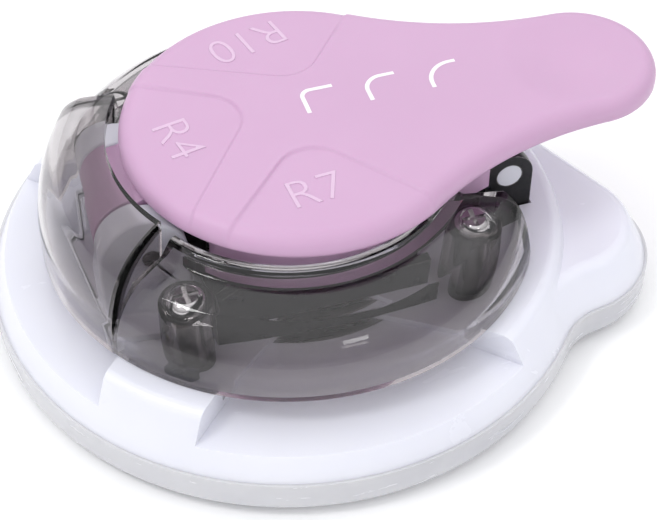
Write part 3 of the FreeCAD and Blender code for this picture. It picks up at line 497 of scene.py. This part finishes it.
def clean_mesh(piece):
    """Merges doubled points, drops empty faces and turns all normals outwards."""
    work = bmesh.new()
    work.from_mesh(piece.data)
    bmesh.ops.remove_doubles(work, verts=work.verts, dist=WELD_DISTANCE)
    bmesh.ops.dissolve_degenerate(work, edges=work.edges, dist=1e-7)
    bmesh.ops.recalc_face_normals(work, faces=work.faces)
    work.to_mesh(piece.data)
    work.free()


MARK_SIZE = 9.0 * MM
MARK_THIN = -0.18 * MM
MARK_HEIGHT = 0.05 * MM
MARK_EDGE = 0.08 * MM
MARK_EDGE_STEPS, MARK_CURVE_STEPS = 2, 8

# text, place of its middle, turn in degrees
MARKS = (
    ("R7", (-0.8 * MM, -18.2 * MM), 4.0),
    ("R4", (-18.8 * MM, 0.2 * MM), -79.0),
    ("R10", (-0.9 * MM, 21.0 * MM), -166.0),
)


def add_mark(text, place, turn):
    """A low raised radius mark on the cap's face, in a lighter pink: a painted highlight on
    its raised strokes.
    """
    curve = bpy.data.curves.new("mark_" + text, "FONT")
    curve.body = text
    curve.size = MARK_SIZE
    curve.align_x = "CENTER"
    curve.align_y = "CENTER"
    curve.offset = MARK_THIN
    curve.extrude = MARK_HEIGHT
    curve.bevel_depth = MARK_EDGE
    curve.bevel_resolution = MARK_EDGE_STEPS
    curve.resolution_u = MARK_CURVE_STEPS
    maker = bpy.data.objects.new("maker", curve)
    bpy.context.collection.objects.link(maker)
    bpy.context.view_layer.update()
    mesh = bpy.data.meshes.new_from_object(maker)
    bpy.data.objects.remove(maker)
    mesh.name = "mark_" + text
    height = CAP_HIGH.z - cap_drop(*place)
    piece = bpy.data.objects.new("mark_" + text, mesh)
    bpy.context.collection.objects.link(piece)
    mesh.transform(Matrix.Translation((place[0], place[1], height))
                   @ Matrix.Rotation(math.radians(turn), 4, "Z"))
    mesh.materials.clear()
    # lighter pink here is a painted highlight on the raised strokes
    mesh.materials.append(MATERIALS["pink_mark_painted_highlight"])
    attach(piece, "lever")


make_cap()
for mark in MARKS:
    add_mark(*mark)


# ------------------------------------------------------- white corner symbols

SYMBOL_SIZE = 6.0 * MM
SYMBOL_LINE = 0.75 * MM
SYMBOL_Y = -0.6 * MM
SYMBOL_RISE = 0.02 * MM
SYMBOL_FULL = 12  # the trimming radius that would fill the whole symbol
SYMBOL_PLACES = ((4, 3.4 * MM), (7, 14.4 * MM), (10, 25.4 * MM))


def print_ink():
    """White pad print, slightly thin where the pad lifted."""
    s = Shader("print_ink")
    thin = s.noise(420, 4)
    s.color(s.mix(s.ramp(thin, 0.3, 0.6), (0.90, 0.88, 0.90, 1), (0.84, 0.78, 0.83, 1)))
    s.rough(s.ramp(thin, 0.3, 0.7, 0.42, 0.55))
    s.bump(thin, 0.000008, 0.4)
    return s.material


def corner_line(radius, inset, steps=14):
    """Two sides of a page that meet in a rounded corner, inset from the outside."""
    reach, curve = SYMBOL_SIZE - inset, radius - inset
    points = [(inset, 0.0)]
    for i in range(steps + 1):
        angle = math.pi - math.pi / 2 * i / steps
        points.append((inset + curve + curve * math.cos(angle),
                       reach - curve + curve * math.sin(angle)))
    points.append((SYMBOL_SIZE, reach))
    return points


def add_symbol(trim, x, material):
    """A printed page corner, rounded in proportion to the trimming radius."""
    radius = SYMBOL_SIZE * trim / SYMBOL_FULL
    outer, inner = corner_line(radius, 0.0), corner_line(radius, SYMBOL_LINE)
    count = len(outer)
    points = []
    for px, py in outer + inner:
        wx, wy = x + px, SYMBOL_Y + py
        points.append((wx, wy, CAP_HIGH.z - cap_drop(wx, wy) + SYMBOL_RISE))
    faces = [(i, count + i, count + i + 1, i + 1) for i in range(count - 1)]
    piece = add_piece("corner_symbol_%d" % trim, points, faces, material, "lever",
                      smooth=False)


ink = print_ink()
for trim, left in SYMBOL_PLACES:
    add_symbol(trim, left, ink)


# -------------------------------------------------------------- smoked housing

DOME_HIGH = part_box("housing")[1]
SCREW_BOXES = [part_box("housing_screw_%d" % i) for i in (1, 2, 3, 4)]
FOOT_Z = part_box("base_shell")[1].z
WALL_R = DOME_HIGH.y
HOOD_Z = DOME_HIGH.z
CUT_X = DOME_HIGH.x
WALL = 2.0 * MM
SHELF_R, SHELF_Z = WALL_R - 5.9 * MM, FOOT_Z + 12.4 * MM
COLLAR_R, COLLAR_Z = WALL_R - 12.1 * MM, FOOT_Z + 13.3 * MM
MOUTH_R, MOUTH_Z = WALL_R - 15.5 * MM, FOOT_Z + 15.4 * MM
HOOD_R = WALL_R - 12.5 * MM
CUT_HALF = 17.3 * MM
CUT_CORNER = 5.2 * MM
HOOD_HALF = math.radians(31.75)
HOOD_WALL = math.radians(2.4)
WALL_STRAIGHT = 3.2 * MM
SHOULDER_BULGE, SHOULDER_INSIDE = 1.15 * MM, -1.25 * MM
SHOULDER_STEPS = 12
FOOT_EASE = 0.25 * MM
RIDGE_EASE, LIP_EASE, MOUTH_EASE = 0.35 * MM, 0.3 * MM, 0.4 * MM
LIP_SHARE, INSIDE_SHARE, WEB_SHARE = 0.7, 0.6, 0.5  # of the wall
WEB_Z = FOOT_Z + 6 * MM
WEB_IN = 0.4 * MM
HOOD_SIDE = 5.4 * MM
HIP_IN, HIP_FALL = 2.9 * MM, 5.2 * MM
CROWN_IN, CROWN_FALL = 6.9 * MM, 1.6 * MM
SIDE_BULGE, HIP_BULGE, CROWN_BULGE = 0.55 * MM, 0.35 * MM, 0.12 * MM
DOME_STEPS, HOOD_STEPS, WEB_STEPS = 120, 90, 4
COVER_SHARP, BOSS_SHARP = math.radians(38), math.radians(40)
BISECT_STEPS = 40


def arc_points(start, end, bulge, steps):
    """Points from start to end along an arc that stands out by bulge."""
    start, end = Vector(start), Vector(end)
    chord = end - start
    normal = Vector((chord.y, -chord.x)).normalized()
    return [start + chord * (i / steps) + normal * (bulge * 4 * (i / steps) * (1 - i / steps))
            for i in range(steps + 1)]


def eased(corner_before, corner, corner_after, radius, steps=3):
    """A corner rounded by a short curve, so that a crisp ridge still catches light."""
    before = corner + (corner_before - corner).normalized() * radius
    after = corner + (corner_after - corner).normalized() * radius
    points = []
    for i in range(steps + 1):
        t = i / steps
        points.append(before * (1 - t)**2 + corner * 2 * t * (1 - t) + after * t**2)
    return points


def dome_section():
    """Closed section (radius, height), outer side first, each side foot to mouth."""
    foot, straight = Vector((WALL_R, FOOT_Z)), Vector((WALL_R, FOOT_Z + WALL_STRAIGHT))
    shelf, collar = Vector((SHELF_R, SHELF_Z)), Vector((COLLAR_R, COLLAR_Z))
    rim = Vector((MOUTH_R + WALL * LIP_SHARE, MOUTH_Z))
    shoulder = arc_points(straight, shelf, SHOULDER_BULGE, SHOULDER_STEPS)
    mouth = Vector((MOUTH_R, MOUTH_Z))
    outer = [foot + Vector((-FOOT_EASE, 0)), foot + Vector((0, FOOT_EASE))] + shoulder[:-1]
    outer += eased(shoulder[-2], shelf, collar, RIDGE_EASE)
    outer += eased(shelf, collar, rim, RIDGE_EASE)
    outer += eased(collar, rim, mouth, LIP_EASE)
    outer += eased(rim, mouth, Vector((MOUTH_R, COLLAR_Z)), LIP_EASE)
    inner_shelf = Vector((SHELF_R - WALL * INSIDE_SHARE, SHELF_Z - WALL))
    inner_mouth = Vector((MOUTH_R, COLLAR_Z - WALL * INSIDE_SHARE))
    inner_straight = straight + Vector((-WALL, 0))
    inner = eased(mouth, inner_mouth, inner_shelf, MOUTH_EASE)
    inner += arc_points(inner_shelf, inner_straight, SHOULDER_INSIDE, SHOULDER_STEPS)
    inner.append(foot + Vector((-WALL, 0)))
    return outer + inner


def hood_section():
    """Closed section of the hood, from the foot over the crown and back inside."""
    def outside(inset):
        side = Vector((WALL_R - inset, FOOT_Z + HOOD_SIDE))
        hip = Vector((WALL_R - HIP_IN - inset, HOOD_Z - HIP_FALL - inset))
        crown = Vector((WALL_R - CROWN_IN - inset, HOOD_Z - CROWN_FALL - inset))
        lip = Vector((HOOD_R, HOOD_Z - inset))
        points = [Vector((WALL_R - inset, FOOT_Z))]
        points += arc_points(side, hip, SIDE_BULGE, 8)
        points += arc_points(hip, crown, HIP_BULGE, 6)[1:]
        points += arc_points(crown, lip, CROWN_BULGE, 4)[1:]
        return points
    return outside(0.0) + outside(WALL)[::-1]


def cut_angle(radius):
    """Azimuth at which the front opening ends, measured from +X."""
    if radius <= math.hypot(CUT_X - CUT_CORNER, CUT_HALF):
        return math.asin(CUT_HALF / radius)
    corner_end = math.hypot(CUT_X, CUT_HALF + CUT_CORNER)
    if radius >= corner_end:
        return math.acos(CUT_X / radius)
    centre = (CUT_X - CUT_CORNER, CUT_HALF + CUT_CORNER)
    start = math.asin(CUT_HALF / radius)
    finish = math.acos(CUT_X / radius) if radius > CUT_X else start
    low, high = min(start, finish) - 0.02, max(start, finish) + 0.3
    for _ in range(BISECT_STEPS):
        middle = (low + high) / 2
        x, y = radius * math.cos(middle), radius * math.sin(middle)
        inside = math.hypot(x - centre[0], y - centre[1]) < CUT_CORNER or (
            x < centre[0] and y > CUT_HALF) or (y > centre[1] and x < CUT_X)
        low, high = (low, middle) if inside else (middle, high)
    return high


def swept_piece(section, start_of, end_of, steps, side):
    """Points and faces of a section swept round Z between two azimuths, with end faces."""
    count = len(section)
    points, faces = [], []
    for i in range(steps + 1):
        for radius, height in section:
            start, end = start_of(radius), end_of(radius)
            angle = start + (end - start) * i / steps
            points.append((radius * math.cos(angle), side * radius * math.sin(angle), height))
    for i in range(steps):
        faces += ring_faces(count, i * count, (i + 1) * count)
    faces.append(tuple(range(count)))
    faces.append(tuple(range(steps * count + count - 1, steps * count - 1, -1)))
    return points, faces


def joined(parts):
    """Points and faces of several pieces as one list each."""
    points, faces = [], []
    for more_points, more_faces in parts:
        base = len(points)
        points += more_points
        faces += [tuple(base + k for k in face) for face in more_faces]
    return points, faces


def make_housing():
    """Smoked cover: two dome wings cut away in front, and a hood over the hinge."""
    edge = math.pi - HOOD_HALF
    parts = []
    for side in (-1, 1):
        parts.append(swept_piece(dome_section(), cut_angle, lambda r: edge, DOME_STEPS, side))
    parts.append(swept_piece(hood_section(), lambda r: edge, lambda r: math.pi + HOOD_HALF,
                             HOOD_STEPS, 1))
    web = hood_web_section()
    for side in (-1, 1):
        parts.append(swept_piece(web, lambda r: edge, lambda r: edge + HOOD_WALL,
                                 WEB_STEPS, side))
    points, faces = joined(parts)
    piece = add_piece("smoked_cover", points, faces, MATERIALS["smoke_plastic"], "press")
    clean_mesh(piece)
    piece.data.set_sharp_from_angle(angle=COVER_SHARP)
    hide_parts("housing")


def hood_web_section():
    """Closed outline between the dome's outside and the hood's inside."""
    hood = hood_section()
    upper = [p for p in hood[len(hood) // 2:] if p.y > WEB_Z]
    lower = [Vector((WALL_R - WALL - WEB_IN, WEB_Z)),
             Vector((SHELF_R, SHELF_Z - WALL * WEB_SHARE)),
             Vector((COLLAR_R, COLLAR_Z - WALL * WEB_SHARE))]
    return upper + lower


BOSS_WALL = 1.1 * MM
BOSS_BORE_SHARE = 0.47  # of the screw head's radius
BOSS_EASE = 0.2 * MM
BOSS_RIM = 1.0 * MM
HEAD_GAP = 0.5 * MM
HEAD_HEIGHT = 2.4 * MM
BOSS_STEPS = 48


def make_bosses():
    """Screw posts under the cover, open at the top for the screw heads; their darker smoke is
    partly the thicker plastic's tint and partly painted shade.
    """
    for number, (low, high) in enumerate(SCREW_BOXES, start=1):
        centre = (low + high) / 2
        head = (high.x - low.x) / 2
        seat = high.z - HEAD_HEIGHT
        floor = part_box("guide_frame")[0].z
        outer, bore = head + BOSS_WALL, head * BOSS_BORE_SHARE
        recess, rim = head + HEAD_GAP, seat + BOSS_RIM
        section = [(bore, floor), (outer - BOSS_EASE, floor), (outer, floor + BOSS_EASE),
                   (outer, rim - BOSS_EASE), (outer - BOSS_EASE, rim),
                   (recess, rim), (recess, seat), (bore, seat)]
        points, faces = [], []
        for i in range(BOSS_STEPS):
            angle = 2 * math.pi * i / BOSS_STEPS
            points += [(centre.x + r * math.cos(angle), centre.y + r * math.sin(angle), z)
                       for r, z in section]
        count = len(section)
        for i in range(BOSS_STEPS):
            j = (i + 1) % BOSS_STEPS
            faces += [(i * count + k, j * count + k, j * count + (k + 1) % count,
                       i * count + (k + 1) % count) for k in range(count)]
        # the bosses' darker smoke is partly real tint and partly painted shade
        piece = add_piece("cover_boss_%d" % number, points, faces,
                          MATERIALS["boss_smoke_and_painted_shade"], "press")
        clean_mesh(piece)
        piece.data.set_sharp_from_angle(angle=BOSS_SHARP)


make_housing()
make_bosses()


# ------------------------------------------------------- stage, camera, light

FLOOR_SIZE = 6.0
CAMERA_AZIMUTH = math.radians(-18.5)
CAMERA_ELEVATION = math.radians(45.76)
CAMERA_ROLL = math.radians(0.71)
CAMERA_TARGET = Vector((2.5, -15.0, 20.0)) * MM
CAMERA_DISTANCE = 318.7 * MM
CAMERA_LENS = 104.1
SKY_LOW, SKY_HIGH = 0.05, 0.75
SKY_DIM, SKY_BRIGHT = 0.35, 1.35
SKY_COLOR = (0.98, 0.985, 1.0, 1)
LIGHT_AIM = Vector((0, 0, 0.02))

# name, place, size and power of each lamp
LAMPS = (
    ("key", (-0.30, -0.05, 0.50), (0.12, 0.12), 0.55),
    ("fill", (0.10, -0.50, 0.30), (0.10, 0.05), 0.10),
    ("rim", (0.1, 0.6, 0.4), (0.5, 0.1), 0.2),
)


def make_floor():
    """A pale board, large enough to reach past the frame."""
    bpy.ops.mesh.primitive_plane_add(size=FLOOR_SIZE, location=(0, 0, 0))
    floor = bpy.context.object
    floor.name = "floor"
    floor.data.materials.append(floor_material())


def make_camera():
    """Long lens, high three-quarter view from the front left."""
    azimuth, elevation, roll = CAMERA_AZIMUTH, CAMERA_ELEVATION, CAMERA_ROLL
    back = Vector((math.sin(azimuth) * math.cos(elevation),
                   -math.cos(azimuth) * math.cos(elevation), math.sin(elevation)))
    right = Vector((math.cos(azimuth), math.sin(azimuth), 0))
    up = back.cross(right)
    tilted = right * math.cos(roll) + up * math.sin(roll)
    upper = up * math.cos(roll) - right * math.sin(roll)
    turn = Matrix((tilted, upper, back)).transposed().to_4x4()
    data = bpy.data.cameras.new("camera")
    data.lens = CAMERA_LENS
    data.sensor_width = 36.0
    data.clip_start = 0.01
    camera = bpy.data.objects.new("camera", data)
    camera.matrix_world = Matrix.Translation(CAMERA_TARGET + back * CAMERA_DISTANCE) @ turn
    bpy.context.collection.objects.link(camera)
    bpy.context.scene.camera = camera


def add_area(name, place, size, power):
    """A rectangular lamp that looks at the object."""
    data = bpy.data.lights.new(name, "AREA")
    data.shape = "RECTANGLE"
    data.size, data.size_y = size
    data.energy = power
    lamp = bpy.data.objects.new(name, data)
    lamp.location = place
    lamp.rotation_euler = (LIGHT_AIM - Vector(place)).to_track_quat("-Z", "Y").to_euler()
    bpy.context.collection.objects.link(lamp)


def make_light():
    """Key from the upper left, low fill, long rim light, world brighter upwards."""
    world = bpy.data.worlds.new("studio")
    world.use_nodes = True
    tree = world.node_tree
    background = tree.nodes["Background"]
    space = tree.nodes.new("ShaderNodeTexCoord")
    axes = tree.nodes.new("ShaderNodeSeparateXYZ")
    sky = tree.nodes.new("ShaderNodeMapRange")
    set_range(sky, SKY_LOW, SKY_HIGH, SKY_DIM, SKY_BRIGHT)
    tree.links.new(space.outputs["Generated"], axes.inputs["Vector"])
    tree.links.new(axes.outputs["Z"], sky.inputs["Value"])
    tree.links.new(sky.outputs["Result"], background.inputs["Strength"])
    background.inputs["Color"].default_value = SKY_COLOR
    bpy.context.scene.world = world
    for lamp in LAMPS:
        add_area(*lamp)


make_floor()
make_camera()
make_light()
bpy.context.scene.view_settings.view_transform = "Standard"
